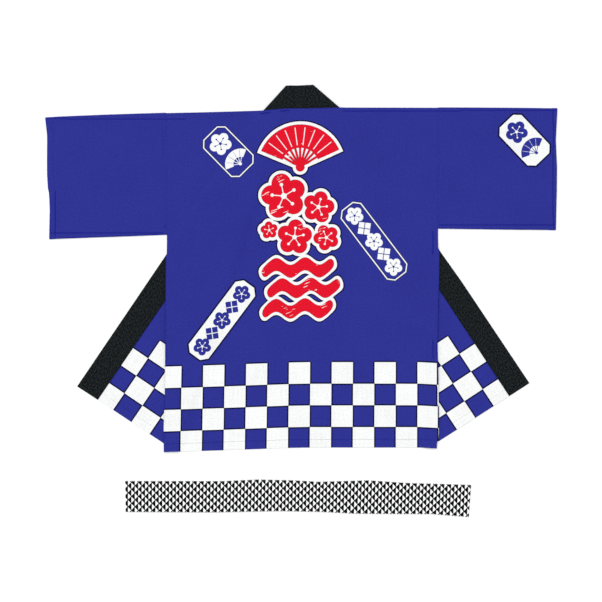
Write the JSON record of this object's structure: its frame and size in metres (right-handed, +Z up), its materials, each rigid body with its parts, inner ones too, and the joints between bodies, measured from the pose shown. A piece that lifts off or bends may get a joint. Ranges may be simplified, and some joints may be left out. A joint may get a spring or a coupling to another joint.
{
  "type": "happi coat with its belt",
  "caption": "Short straight-cut festival coat with checked hem band and black collar, laid flat back up with open fronts turned out and its folded belt below",
  "frame": {"origin": "middle of all that is laid out, coat and belt, on the surface it lies on", "axes": "+X across the sleeves to the right seen from above, +Y from the hem towards the collar, +Z up out of the surface"},
  "size_m": [1.2038, 1.0154, 0.0048],
  "materials": {
    "printed_cotton": "royal blue plain-weave cotton, printed, matt",
    "black_cotton": "black plain-weave cotton, folded band, matt",
    "belt_cotton": "cotton printed with black and white triangles, matt"
  },
  "bodies": {
    "root": {"back": "printed_cotton", "front_left": "printed_cotton", "front_right": "printed_cotton", "sleeve_left": "printed_cotton", "sleeve_right": "printed_cotton", "collar_neck": "black_cotton", "collar_left": "black_cotton", "collar_right": "black_cotton", "belt": "belt_cotton"}
  },
  "joints": []
}
